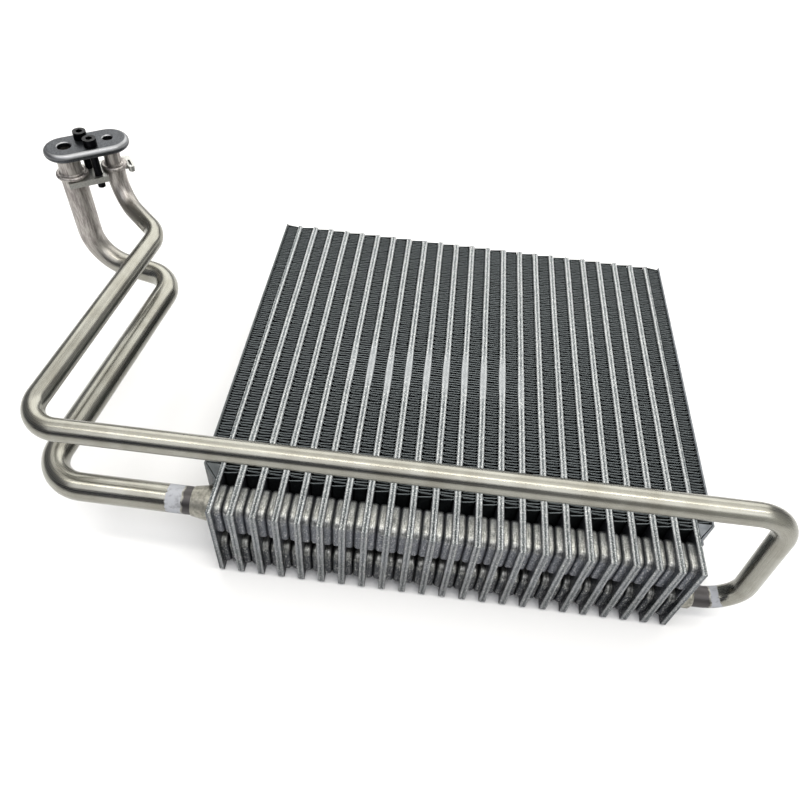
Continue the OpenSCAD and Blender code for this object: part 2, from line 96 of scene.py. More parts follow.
def brazedSheet(look):
    # clad sheet after the brazing furnace: dull blue-grey, darker low down as painted shade; pale flux dust,
    # painted on all that looks up as painted light, lighter towards the front edge and darker towards the
    # cup joints; a painted highlight along the edges where the two sheets meet, painted glints, and polished
    # where something has pressed it; the grains and runs of flux are drawn coarser than real ones, so that
    # they show
    material, shader = startMaterial("brazed aluminium sheet")
    tree = material.node_tree
    spot = addNode(tree, "ShaderNodeTexCoord")
    place = spot.outputs["Object"]
    bloom = addNode(tree, "ShaderNodeTexNoise",
                    {"Vector": place, "Scale": 1 / (look["bloomMm"] * mm), "Detail": 5.0, "Roughness": 0.65})
    grain = addNode(tree, "ShaderNodeTexNoise",
                    {"Vector": place, "Scale": 1 / (look["grainMm"] * mm), "Detail": 2.0, "Roughness": 0.7})
    at = addNode(tree, "ShaderNodeSeparateXYZ", {"Vector": place})
    # painted light: all that looks up takes the pale dust colour, in patches of real flux dust
    lookUp = addNode(tree, "ShaderNodeSeparateXYZ", {"Vector": spot.outputs["Normal"]}).outputs["Z"]
    upShare = addNode(tree, "ShaderNodeMapRange",
                      {"Value": lookUp, "From Min": 0.0, "From Max": look["upFull"]})
    low, high = look["dustPatch"]
    dustShare = addNode(tree, "ShaderNodeMapRange",
                        {"Value": bloom.outputs["Fac"], "From Min": low, "From Max": high,
                         "To Min": look["dustLeast"]})
    litDust = addNode(tree, "ShaderNodeMath", {0: upShare.outputs[0], 1: dustShare.outputs[0]},
                   operation="MULTIPLY")
    # painted light: the dust gets lighter towards the tank's front edge and darker towards the fins
    frontLightShare = addNode(tree, "ShaderNodeMapRange",
                         {"Value": at.outputs["Y"], "From Min": look["frontLightFromMm"] * mm,
                          "From Max": look["frontLightToMm"] * mm})
    wide, long = look["runMm"]
    runPlace = addNode(tree, "ShaderNodeMapping",
                       {"Vector": place, "Scale": (1 / (wide * mm), 1 / (long * mm), 1 / (long * mm))})
    runs = addNode(tree, "ShaderNodeTexNoise", {"Vector": runPlace.outputs[0], "Scale": 1.0, "Detail": 3.0})
    low, high = look["runPatch"]
    runShare = addNode(tree, "ShaderNodeMapRange",
                       {"Value": runs.outputs["Fac"], "From Min": low, "From Max": high,
                        "To Min": look["runLeast"]})
    aside = addNode(tree, "ShaderNodeMath", {0: at.outputs["X"], 1: look["pitchMm"] / 2 * mm},
                    operation="PINGPONG")
    # painted shade: the dust is darker towards the joints between the cups, as if their tops were rounded
    joint, crown = look["jointMm"]
    crownShadeShare = addNode(tree, "ShaderNodeMapRange",
                         {"Value": aside.outputs[0], "From Min": joint * mm, "From Max": crown * mm,
                          "To Min": look["jointShadeShare"]})
    crownShaded = addNode(tree, "ShaderNodeMath", {0: frontLightShare.outputs[0], 1: crownShadeShare.outputs[0]},
                      operation="MULTIPLY")
    # share of the pale dust: real runs of flux, times the painted light and painted shade above
    thick = addNode(tree, "ShaderNodeMath", {0: crownShaded.outputs[0], 1: runShare.outputs[0]},
                    operation="MULTIPLY")
    litDustColour = addNode(tree, "ShaderNodeMix",
                         {0: thick.outputs[0], 6: hexColour(look["thinDustAndShade"]), 7: hexColour(look["litDust"])},
                         data_type="RGBA")
    # painted shade: the sheet turns darker low down, where the front row of cups shades the rear row
    high, low = look["lowerMm"]
    lowerShare = addNode(tree, "ShaderNodeMapRange",
                         {"Value": at.outputs["Z"], "From Min": high * mm, "From Max": low * mm})
    sheetColour = addNode(tree, "ShaderNodeMix",
                          {0: lowerShare.outputs[0], 6: hexColour(look["sheet"]),
                           7: hexColour(look["lower"])}, data_type="RGBA")
    litDusted = addNode(tree, "ShaderNodeMix",
                    {0: litDust.outputs[0], 6: sheetColour.outputs[2], 7: litDustColour.outputs[2]},
                    data_type="RGBA")
    # painted highlight: lighter along the top and front edges of the sheets, lightest at the sides where the
    # two sheets meet
    topRim = addNode(tree, "ShaderNodeMapRange",
                     {"Value": at.outputs["Z"], "From Min": (look["rimTopMm"] - look["rimFadeMm"]) * mm,
                      "From Max": look["rimTopMm"] * mm})
    frontRim = addNode(tree, "ShaderNodeMapRange",
                       {"Value": at.outputs["Y"], "From Min": (look["rimFrontMm"] + look["rimFadeMm"]) * mm,
                        "From Max": look["rimFrontMm"] * mm, "To Max": look["rimFrontShare"]})
    rim = addNode(tree, "ShaderNodeMath", {0: topRim.outputs[0], 1: frontRim.outputs[0]},
                  operation="MAXIMUM")
    low, high = look["rimSideMm"]
    sideShare = addNode(tree, "ShaderNodeMapRange",
                        {"Value": aside.outputs[0], "From Min": low * mm, "From Max": high * mm})
    rimHighlightColour = addNode(tree, "ShaderNodeMix",
                        {0: sideShare.outputs[0], 6: hexColour(look["rim"]), 7: hexColour(look["rimEdgeHighlight"])},
                        data_type="RGBA")
    rimHighlighted = addNode(tree, "ShaderNodeMix",
                     {0: rim.outputs[0], 6: litDusted.outputs[2], 7: rimHighlightColour.outputs[2]}, data_type="RGBA")
    high, low = look["stainPatch"]
    stainShare = addNode(tree, "ShaderNodeMapRange",
                         {"Value": grain.outputs["Fac"], "From Min": high, "From Max": low,
                          "To Max": look["stainMost"]})
    stained = addNode(tree, "ShaderNodeMix",
                      {0: stainShare.outputs[0], 6: rimHighlighted.outputs[2], 7: hexColour(look["stain"])},
                      data_type="RGBA")
    # painted glints: near-white specks on the pale dust and on the edges
    low, high = look["glintPatch"]
    glintShare = addNode(tree, "ShaderNodeMapRange",
                         {"Value": grain.outputs["Fac"], "From Min": low, "From Max": high})
    glintPlace = addNode(tree, "ShaderNodeMath", {0: thick.outputs[0], 1: rim.outputs[0]},
                         operation="MAXIMUM")
    glintUp = addNode(tree, "ShaderNodeMath", {0: glintShare.outputs[0], 1: glintPlace.outputs[0]},
                      operation="MULTIPLY")
    glinted = addNode(tree, "ShaderNodeMix",
                      {0: glintUp.outputs[0], 6: stained.outputs[2], 7: hexColour(look["glint"])},
                      data_type="RGBA")
    press = addNode(tree, "ShaderNodeAttribute", attribute_name="pressed").outputs["Fac"]
    pressShare = addNode(tree, "ShaderNodeMath", {0: press, 1: look["pressedShare"]}, operation="MULTIPLY")
    pressed = addNode(tree, "ShaderNodeMix",
                      {0: pressShare.outputs[0], 6: glinted.outputs[2], 7: hexColour(look["pressed"])},
                      data_type="RGBA")
    low, high = look["roughPatch"]
    rough = addNode(tree, "ShaderNodeMapRange",
                    {"Value": bloom.outputs["Fac"], "From Min": low, "From Max": high,
                     "To Min": look["rough"][0], "To Max": look["rough"][1]})
    bump = addNode(tree, "ShaderNodeBump",
                   {"Height": grain.outputs["Fac"], "Strength": look["grainBump"],
                    "Distance": look["grainDepthMm"] * mm})
    tree.links.new(pressed.outputs[2], shader.inputs["Base Color"])
    tree.links.new(rough.outputs[0], shader.inputs["Roughness"])
    tree.links.new(bump.outputs["Normal"], shader.inputs["Normal"])
    shader.inputs["Metallic"].default_value = 1.0
    return material


# the strip colours are painted very dark, as painted shade deep between the folds; the edge colour is partly
# bare metal and partly painted highlight
finLook = {
    "strip": "131617", "dull": "0C0E0F", "edge": "747A7C", "edgeMm": (63.75, 63.9),
    "upPatch": (0.5, 0.85), "patchMm": 9.0, "patch": (0.35, 0.65), "rough": 0.45, "metallic": 0.85,
}


def finStrip():
    # thin fin strip with a dull water-shedding coat, its colour painted very dark as painted shade deep
    # between the folds, and paler along its sheared top edge where it faces up, partly bare metal and partly
    # painted highlight
    material, shader = startMaterial("coated aluminium fin strip")
    tree = material.node_tree
    spot = addNode(tree, "ShaderNodeTexCoord")
    place = spot.outputs["Object"]
    patch = addNode(tree, "ShaderNodeTexNoise",
                    {"Vector": place, "Scale": 1 / (finLook["patchMm"] * mm), "Detail": 3.0})
    low, high = finLook["patch"]
    share = addNode(tree, "ShaderNodeMapRange",
                    {"Value": patch.outputs["Fac"], "From Min": low, "From Max": high})
    colour = addNode(tree, "ShaderNodeMix",
                     {0: share.outputs[0], 6: hexColour(finLook["strip"]), 7: hexColour(finLook["dull"])},
                     data_type="RGBA")
    # partly bare metal and partly painted highlight: paler along the top edge where it faces up
    height = addNode(tree, "ShaderNodeSeparateXYZ", {"Vector": place}).outputs["Z"]
    low, high = finLook["edgeMm"]
    edge = addNode(tree, "ShaderNodeMapRange",
                   {"Value": height, "From Min": low * mm, "From Max": high * mm})
    lookUp = addNode(tree, "ShaderNodeSeparateXYZ", {"Vector": spot.outputs["Normal"]}).outputs["Z"]
    low, high = finLook["upPatch"]
    upShare = addNode(tree, "ShaderNodeMapRange", {"Value": lookUp, "From Min": low, "From Max": high})
    shearedAndLit = addNode(tree, "ShaderNodeMath", {0: edge.outputs[0], 1: upShare.outputs[0]},
                      operation="MULTIPLY")
    edgedAndLit = addNode(tree, "ShaderNodeMix",
                    {0: shearedAndLit.outputs[0], 6: colour.outputs[2], 7: hexColour(finLook["edge"])},
                    data_type="RGBA")
    tree.links.new(edgedAndLit.outputs[2], shader.inputs["Base Color"])
    shader.inputs["Metallic"].default_value = finLook["metallic"]
    shader.inputs["Roughness"].default_value = finLook["rough"]
    return material


tubeLook = {
    "metal": "93928A", "warm": "86847B", "scuff": "66635D", "flux": "A7A9AE",
    "fluxThin": "87888B", "braze": "4E4C4C", "raggedMm": 3.0,
    "streakMm": (0.5, 60.0), "streakPatch": (0.55, 0.75), "streakMost": 0.35, "speckleMm": 0.35,
    "cloudMm": 14.0, "cloudPatch": (0.4, 0.68), "roughPatch": (0.3, 0.7), "rough": (0.2, 0.34),
    "depthMm": 0.012, "bump": 0.6, "fluxEdgeMm": 0.5, "fluxPatch": (0.5, 0.7), "fluxRough": 0.9,
    "brazeFadeMm": 1, "dull": "827C7A", "dullPale": "B4B0AB", "dullWideMm": 40.0, "dullRough": 0.46,
    "blotchMm": (1.4, 11.0), "blotchPatch": (0.4, 0.6),
}


def drawnTube(name, fluxFromMm, fluxToMm, dullFromMm):
    # drawn aluminium pipe: a warm satin shine with faint lines along it, drawn coarser than real ones
    # so that they show, a white band of dried flux near the tank, and a dull pinkish skin towards the
    # port block
    material, shader = startMaterial(name)
    tree = material.node_tree
    along = addNode(tree, "ShaderNodeAttribute", attribute_name="pipePlace").outputs["Vector"]
    place = addNode(tree, "ShaderNodeTexCoord").outputs["Object"]
    fine, long = tubeLook["streakMm"]
    drawn = addNode(tree, "ShaderNodeMapping",
                    {"Vector": along, "Scale": (1 / (fine * mm), 1 / (fine * mm), 1 / (long * mm))})
    streak = addNode(tree, "ShaderNodeTexNoise", {"Vector": drawn.outputs[0], "Scale": 1.0, "Detail": 3.0})
    speckle = addNode(tree, "ShaderNodeTexNoise",
                      {"Vector": place, "Scale": 1 / (tubeLook["speckleMm"] * mm), "Detail": 2.0})
    cloud = addNode(tree, "ShaderNodeTexNoise",
                    {"Vector": place, "Scale": 1 / (tubeLook["cloudMm"] * mm), "Detail": 4.0})
    low, high = tubeLook["cloudPatch"]
    cloudShare = addNode(tree, "ShaderNodeMapRange",
                         {"Value": cloud.outputs["Fac"], "From Min": low, "From Max": high})
    low, high = tubeLook["streakPatch"]
    streakShare = addNode(tree, "ShaderNodeMapRange",
                          {"Value": streak.outputs["Fac"], "From Min": low, "From Max": high,
                           "To Max": tubeLook["streakMost"]})
    clouded = addNode(tree, "ShaderNodeMix",
                      {0: cloudShare.outputs[0], 6: hexColour(tubeLook["metal"]),
                       7: hexColour(tubeLook["warm"])}, data_type="RGBA")
    lined = addNode(tree, "ShaderNodeMix",
                    {0: streakShare.outputs[0], 6: clouded.outputs[2], 7: hexColour(tubeLook["scuff"])},
                    data_type="RGBA")
    run = addNode(tree, "ShaderNodeSeparateXYZ", {"Vector": along}).outputs["Z"]
    dull = addNode(tree, "ShaderNodeMapRange",
                   {"Value": run, "From Min": dullFromMm * mm,
                    "From Max": (dullFromMm + tubeLook["dullWideMm"]) * mm}).outputs[0]
    wide, tall = tubeLook["blotchMm"]
    drawnOut = addNode(tree, "ShaderNodeMapping",
                       {"Vector": along, "Scale": (1 / (wide * mm), 1 / (wide * mm), 1 / (tall * mm))})
    blotch = addNode(tree, "ShaderNodeTexNoise",
                     {"Vector": drawnOut.outputs[0], "Scale": 1.0, "Detail": 5.0, "Roughness": 0.7})
    low, high = tubeLook["blotchPatch"]
    paleShare = addNode(tree, "ShaderNodeMapRange",
                        {"Value": blotch.outputs["Fac"], "From Min": low, "From Max": high})
    skin = addNode(tree, "ShaderNodeMix",
                   {0: paleShare.outputs[0], 6: hexColour(tubeLook["dull"]),
                    7: hexColour(tubeLook["dullPale"])}, data_type="RGBA")
    skinned = addNode(tree, "ShaderNodeMix",
                      {0: streakShare.outputs[0], 6: skin.outputs[2], 7: hexColour(tubeLook["scuff"])},
                      data_type="RGBA")
    dulled = addNode(tree, "ShaderNodeMix",
                     {0: dull, 6: lined.outputs[2], 7: skinned.outputs[2]}, data_type="RGBA")
    ragged = addNode(tree, "ShaderNodeTexNoise",
                     {"Vector": place, "Scale": 1 / (tubeLook["raggedMm"] * mm), "Detail": 4.0})
    wander = addNode(tree, "ShaderNodeMath",
                     {0: ragged.outputs["Fac"], 1: tubeLook["raggedMm"] * mm, 2: run},
                     operation="MULTIPLY_ADD").outputs[0]
    brazed = addNode(tree, "ShaderNodeMapRange",
                     {"Value": wander, "From Min": fluxFromMm * mm,
                      "From Max": (fluxFromMm - tubeLook["brazeFadeMm"]) * mm})
    joined = addNode(tree, "ShaderNodeMix",
                     {0: brazed.outputs[0], 6: dulled.outputs[2], 7: hexColour(tubeLook["braze"])},
                     data_type="RGBA")
    low, high = tubeLook["fluxPatch"]
    thinShare = addNode(tree, "ShaderNodeMapRange",
                        {"Value": ragged.outputs["Fac"], "From Min": low, "From Max": high})
    fluxColour = addNode(tree, "ShaderNodeMix",
                         {0: thinShare.outputs[0], 6: hexColour(tubeLook["flux"]),
                          7: hexColour(tubeLook["fluxThin"])}, data_type="RGBA")
    edge = tubeLook["fluxEdgeMm"] * mm
    rise = addNode(tree, "ShaderNodeMapRange",
                   {"Value": wander, "From Min": fluxFromMm * mm, "From Max": fluxFromMm * mm + edge})
    fall = addNode(tree, "ShaderNodeMapRange",
                   {"Value": wander, "From Min": fluxToMm * mm + edge, "From Max": fluxToMm * mm})
    flux = addNode(tree, "ShaderNodeMath", {0: rise.outputs[0], 1: fall.outputs[0]},
                   operation="MULTIPLY").outputs[0]
    banded = addNode(tree, "ShaderNodeMix",
                     {0: flux, 6: joined.outputs[2], 7: fluxColour.outputs[2]}, data_type="RGBA")
    low, high = tubeLook["roughPatch"]
    satin = addNode(tree, "ShaderNodeMapRange",
                    {"Value": streak.outputs["Fac"], "From Min": low, "From Max": high,
                     "To Min": tubeLook["rough"][0], "To Max": tubeLook["rough"][1]})
    matt = addNode(tree, "ShaderNodeMath", {0: dull, 1: brazed.outputs[0]}, operation="MAXIMUM")
    worn = addNode(tree, "ShaderNodeMix",
                   {0: matt.outputs[0], 2: satin.outputs[0], 3: tubeLook["dullRough"]})
    rough = addNode(tree, "ShaderNodeMix", {0: flux, 2: worn.outputs[0], 3: tubeLook["fluxRough"]})
    metal = addNode(tree, "ShaderNodeMath", {0: 1.0, 1: flux}, operation="SUBTRACT")
    height = addNode(tree, "ShaderNodeMath", {0: streak.outputs["Fac"], 1: speckle.outputs["Fac"]},
                     operation="ADD")
    bump = addNode(tree, "ShaderNodeBump",
                   {"Height": height.outputs[0], "Strength": tubeLook["bump"],
                    "Distance": tubeLook["depthMm"] * mm})
    tree.links.new(banded.outputs[2], shader.inputs["Base Color"])
    tree.links.new(rough.outputs[0], shader.inputs["Roughness"])
    tree.links.new(metal.outputs[0], shader.inputs["Metallic"])
    tree.links.new(bump.outputs["Normal"], shader.inputs["Normal"])
    return material


plainLooks = {
    "ferrule": {"name": "brazed aluminium ferrule", "base": "A09E94", "spot": "86847C", "spotMm": 1.8,
                "grainMm": 0.5, "depthMm": 0.03, "metallic": 1.0, "rough": 0.5},
    # the worn colour of the block and the plate is partly wear and partly painted highlight on their rounded
    # edges
    "block": {"name": "tumbled aluminium block", "base": "4B4D51", "spot": "2C2E31", "spotMm": 0.5,
              "grainMm": 0.35, "depthMm": 0.03, "metallic": 1.0, "rough": 0.4, "worn": "8F9092"},
    "clamp": {"name": "stamped aluminium plate", "base": "B5B5B1", "spot": "A0A09D", "spotMm": 1.0,
              "grainMm": 0.4, "depthMm": 0.02, "metallic": 1.0, "rough": 0.4, "worn": "C8C8C4"},
    "side": {"name": "aluminium side plate", "base": "6E7276", "spot": "5F6367", "spotMm": 4.0,
             "grainMm": 0.4, "depthMm": 0.02, "metallic": 0.5, "rough": 0.5},
    # the same plate metal as above, painted darker for the left plate as painted shade
    "sideShaded": {"name": "aluminium side plate in painted shade", "base": "4C5051", "spot": "434749", "spotMm": 4.0,
                 "grainMm": 0.4, "depthMm": 0.02, "metallic": 0.5, "rough": 0.5},
    "screw": {"name": "black oxide steel", "base": "1A1A1D", "spot": "0C0C0E", "spotMm": 1.5,
              "grainMm": 0.3, "depthMm": 0.01, "metallic": 1.0, "rough": 0.38},
    "seal": {"name": "nitrile rubber", "base": "123524", "spot": "0B2418", "spotMm": 1.0,
             "grainMm": 0.2, "depthMm": 0.01, "metallic": 0.0, "rough": 0.6},
}
plainShares = {
    "spotPatch": (0.4, 0.65), "roughPatch": (0.3, 0.7), "roughSwing": 0.08, "bump": 0.7,
    "offTop": (0.995, 0.93), "offSide": (0.02, 0.3),
}


def plainFinish(look):
    # one base colour with soft spots and a fine grain, for the side plates and the small fittings; the
    # rounded edges of some are worn, and painted paler as painted highlight
    material, shader = startMaterial(look["name"])
    tree = material.node_tree
    place = addNode(tree, "ShaderNodeTexCoord").outputs["Object"]
    spot = addNode(tree, "ShaderNodeTexNoise",
                   {"Vector": place, "Scale": 1 / (look["spotMm"] * mm), "Detail": 4.0})
    grain = addNode(tree, "ShaderNodeTexNoise",
                    {"Vector": place, "Scale": 1 / (look["grainMm"] * mm), "Detail": 2.0})
    low, high = plainShares["spotPatch"]
    share = addNode(tree, "ShaderNodeMapRange",
                    {"Value": spot.outputs["Fac"], "From Min": low, "From Max": high})
    colour = addNode(tree, "ShaderNodeMix",
                     {0: share.outputs[0], 6: hexColour(look["base"]), 7: hexColour(look["spot"])},
                     data_type="RGBA")
    # partly wear and partly painted highlight: faces between level and upright, the rounded edges, turn
    # paler
    if "worn" in look:
        facing = addNode(tree, "ShaderNodeTexCoord").outputs["Normal"]
        lookUp = addNode(tree, "ShaderNodeSeparateXYZ", {"Vector": facing}).outputs["Z"]
        level, turned = plainShares["offTop"]
        offTop = addNode(tree, "ShaderNodeMapRange",
                         {"Value": lookUp, "From Min": level, "From Max": turned})
        upright, turned = plainShares["offSide"]
        offSide = addNode(tree, "ShaderNodeMapRange",
                          {"Value": lookUp, "From Min": upright, "From Max": turned})
        edge = addNode(tree, "ShaderNodeMath", {0: offTop.outputs[0], 1: offSide.outputs[0]},
                       operation="MULTIPLY")
        colour = addNode(tree, "ShaderNodeMix",
                         {0: edge.outputs[0], 6: colour.outputs[2], 7: hexColour(look["worn"])},
                         data_type="RGBA")
    low, high = plainShares["roughPatch"]
    swing = plainShares["roughSwing"]
    rough = addNode(tree, "ShaderNodeMapRange",
                    {"Value": spot.outputs["Fac"], "From Min": low, "From Max": high,
                     "To Min": look["rough"] - swing, "To Max": look["rough"] + swing})
    bump = addNode(tree, "ShaderNodeBump",
                   {"Height": grain.outputs["Fac"], "Strength": plainShares["bump"],
                    "Distance": look["depthMm"] * mm})
    tree.links.new(colour.outputs[2], shader.inputs["Base Color"])
    tree.links.new(rough.outputs[0], shader.inputs["Roughness"])
    tree.links.new(bump.outputs["Normal"], shader.inputs["Normal"])
    shader.inputs["Metallic"].default_value = look["metallic"]
    return material


sheetMaterial = brazedSheet(brazedLook)
finMaterial = finStrip()
suctionMaterial = drawnTube("drawn aluminium suction pipe", fluxFromMm=20.0, fluxToMm=28.5, dullFromMm=300)
liquidMaterial = drawnTube("drawn aluminium liquid pipe", fluxFromMm=24.5, fluxToMm=30.5, dullFromMm=680)
plainMaterials = {name: plainFinish(look) for name, look in plainLooks.items()}
print("materials made")


# Shared steps
meshCare = {"weldMm": 0.002, "flatDegrees": 0.5, "cutMm": 0.0001}


def newPiece(name, bm, material, replaced, smoothDegrees=None):
    mesh = bpy.data.meshes.new(name)
    bm.to_mesh(mesh)
    bm.free()
    if smoothDegrees:
        mesh.shade_smooth()
        mesh.set_sharp_from_angle(angle=math.radians(smoothDegrees))
    mesh.materials.append(material)
    piece = bpy.data.objects.new(name, mesh)
    bpy.context.scene.collection.objects.link(piece)
    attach(piece, "root")
    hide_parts(*replaced)


def dressNode(name, material):
    mesh = nodes[name].data
    mesh.materials.clear()
    mesh.materials.append(material)


def newVerts(result):
    return [item for item in result["geom"] if isinstance(item, bmesh.types.BMVert)]


def newEdges(result):
    return [item for item in result["geom"] if isinstance(item, bmesh.types.BMEdge)]


def rampShare(value, low, high):
    return max(0.0, min(1.0, (value - low) / (high - low)))


def cutThrough(bm, place, facing):
    bmesh.ops.bisect_plane(bm, geom=bm.verts[:] + bm.edges[:] + bm.faces[:], dist=meshCare["cutMm"] * mm,
                           plane_co=place, plane_no=facing)


# The band across the middle of the face where something has pressed the tubes and fins down; the
# seeds here and below place each piece in a noise, and change its random form
dentBand = {
    "yMm": -8.0, "halfMm": 20.0, "fromTube": 6, "toTube": 15, "fadeTubes": 1, "widen": 0.28, "sinkMm": 0.5,
    "wanderMm": 12, "wanderSeed": (0.7, 3.1),
}


def dentShare(index, y):
    inside = min(index - dentBand["fromTube"], dentBand["toTube"] - index)
    across = rampShare(inside, -dentBand["fadeTubes"], dentBand["fadeTubes"])
    step, start = dentBand["wanderSeed"]
    wander = noise.noise(Vector((index * step, start, 0.0))) * dentBand["wanderMm"]
    centre = dentBand["yMm"] * mm + wander * mm
    along = abs(y - centre) / (dentBand["halfMm"] * mm)
    return across * max(0.0, 1 - along * along)


# Fins: one folded strip in each space between the tubes and outside each end tube, its folds flat
finShape = {
    "legMm": 1.95, "thickMm": 0.2, "foldMm": 0.82, "roundMm": 0.3, "roundSteps": 2, "jitterMm": 0.18,
    "raiseMm": 0.25, "dropMm": 0.32, "pressMm": 0.3, "overMm": 0.6, "seed": 400, "waveSeed": (90, 160, 3.7),
    "louvreMm": 6.0, "louvreWideMm": 1.7, "louvreDeepMm": 0.95, "louvrePitchMm": 1.1, "louvreThickMm": 0.15,
    "louvreTilt": 32, "louvreFirstMm": 0.95, "louvreRows": 3, "spareRows": 2,
}


def addLouvre(bm, a, b, depthMm, tilt, press):
    # one slat of a leg: a and b are the ends of the leg's top edge, and depth is measured down from it
    centre = (a + b) / 2
    left, right = (a, b) if a.x <= b.x else (b, a)
    turn = Matrix.Rotation(math.atan2(right.y - left.y, right.x - left.x), 4, "Z")
    place = Matrix.Translation((centre.x, centre.y, a.z - depthMm * mm)) @ turn
    lean = Matrix.Rotation(math.radians(tilt), 4, "X")
    size = Matrix.Diagonal(((finShape["louvreMm"] + finShape["louvreWideMm"] * press) * mm,
                            finShape["louvreThickMm"] * mm, finShape["louvreDeepMm"] * mm, 1))
    bmesh.ops.create_cube(bm, size=1, matrix=place @ lean @ size)


def makeFin(index):
    name = f"fin_{index:02d}"
    low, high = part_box(name)
    legs = round((high.y - low.y) / (finShape["legMm"] * mm))
    leg = (high.y - low.y + finShape["overMm"] * mm) / legs
    thick = finShape["thickMm"] * mm
    middle = (low.x + high.x) / 2
    half = (high.x - low.x - thick) / 2
    fold = finShape["foldMm"] * mm
    rng = random.Random(finShape["seed"] + index)
    bm = bmesh.new()
    last = bm.verts.new((middle - half, low.y, low.z))
    folds = [(last.co.copy(), last.co.copy())]
    for k in range(1, legs + 1):
        side = 1 if k % 2 else -1
        off = rng.uniform(-1, 1) * finShape["jitterMm"] * mm if k < legs else 0
        pair = []
        for way in (-1, 1) if k < legs else (0,):
            last = bmesh.ops.extrude_vert_indiv(bm, verts=[last])["verts"][0]
            last.co = (middle + side * half, low.y + k * leg + off + way * fold, low.z)
            pair.append(last.co.copy())
        folds.append((pair[0], pair[-1]))
    corners = [v for v in bm.verts if len(v.link_edges) == 2]
    bmesh.ops.bevel(bm, geom=corners, offset=finShape["roundMm"] * mm, offset_type="ABSOLUTE",
                    segments=finShape["roundSteps"], profile=0.5, affect="VERTICES", material=-1)
    bottom = bm.verts[:]
    wall = bmesh.ops.extrude_edge_only(bm, edges=bm.edges)
    top = newVerts(wall)
    tall = high.z - low.z + finShape["raiseMm"] * mm
    bmesh.ops.translate(bm, verts=top, vec=(0, 0, tall))
    across, along, apart = finShape["waveSeed"]
    for v in top:
        wave = noise.noise(Vector((v.co.x * across, v.co.y * along, index * apart)))
        v.co.z -= (0.5 + 0.5 * wave) * finShape["dropMm"] * mm
        v.co.z -= dentShare(index, v.co.y) * finShape["pressMm"] * mm
    for v in bottom:
        v.co.z += finShape["dropMm"] * mm * 0.5
    bmesh.ops.recalc_face_normals(bm, faces=bm.faces)
    bmesh.ops.solidify(bm, geom=bm.faces, thickness=thick)
    rise = Vector((0, 0, tall))
    rows = int(tall / (finShape["louvrePitchMm"] * mm)) - finShape["spareRows"]
    for k, (before, after) in enumerate(zip(folds, folds[1:])):
        a, b = before[1] + rise, after[0] + rise
        shown = rows if k in (0, legs - 1) else finShape["louvreRows"]
        for row in range(shown):
            tilt = finShape["louvreTilt"] * (1 if row < rows / 2 else -1)
            depthMm = finShape["louvreFirstMm"] + row * finShape["louvrePitchMm"]
            addLouvre(bm, a, b, depthMm, tilt, dentShare(index, a.y))
    newPiece(f"foldedFin_{index:02d}", bm, finMaterial, [name])


for index in range(1, tubeCount + 2):
    makeFin(index)
print("fins folded")


# Tubes: the stamped sheets with the small waves of real ones and softly rounded edges
tubeShape = {
    "pitchMm": 12, "cutMm": 6.0, "waveMm": 0.16, "waveLongMm": 26.0, "edgeZMm": 60.0,
    "roundMm": 0.16, "roundSteps": 2, "rimMm": 0.62, "foldFrom": 30, "foldTo": 60,
    "farMm": 4.0, "farDipMm": 0.7, "farLeanMm": 0.5,
    "clearOfTankMm": 28.0, "waveFromMm": 22.0, "waveFullMm": 34.0, "rimFadeMm": 4.5, "midBandMm": 0.45,
    "cornerMm": 2.6, "cornerCuts": (0.06, 0.22, 0.45, 0.72, 1.0), "smoothDegrees": 32,
    "waveSeed": (5.3, 0.4), "leanSeed": (2.7, 8.8, 1.0), "dipSeed": (1.9, 4.4, 6.0),
}


def roundRims(bm, low, high):
    # rounds the eased edges along the front face and along the tank end
    rim = tubeShape["rimMm"] * mm
    chosen = []
    for edge in bm.edges:
        if len(edge.link_faces) != 2:
            continue
        a, b = edge.verts
        front = a.co.z > high.z - rim and b.co.z > high.z - rim
        tank = a.co.y < low.y + rim and b.co.y < low.y + rim
        fold = math.degrees(edge.calc_face_angle(0))
        if (front or tank) and tubeShape["foldFrom"] < fold < tubeShape["foldTo"]:
            chosen.append(edge)
    bmesh.ops.bevel(bm, geom=chosen, offset=tubeShape["roundMm"] * mm, offset_type="OFFSET",
                    segments=tubeShape["roundSteps"], profile=0.5, affect="EDGES", clamp_overlap=True,
                    material=-1)


def roundCorner(bm, low):
    # rounds the corner where the tank end meets the back face
    corner = tubeShape["cornerMm"] * mm
    for share in tubeShape["cornerCuts"]:
        cutThrough(bm, (0, 0, low.z + share * corner), (0, 0, 1))
    for v in bm.verts:
        left = corner - (v.co.z - low.z)
        if left > 0 and v.co.y < low.y + tubeShape["rimMm"] * mm:
            v.co.y += corner - math.sqrt(max(0.0, corner * corner - left * left))


def tubeNoise(index, seed):
    step, second, third = seed
    return noise.noise(Vector((index * step, second, third)))


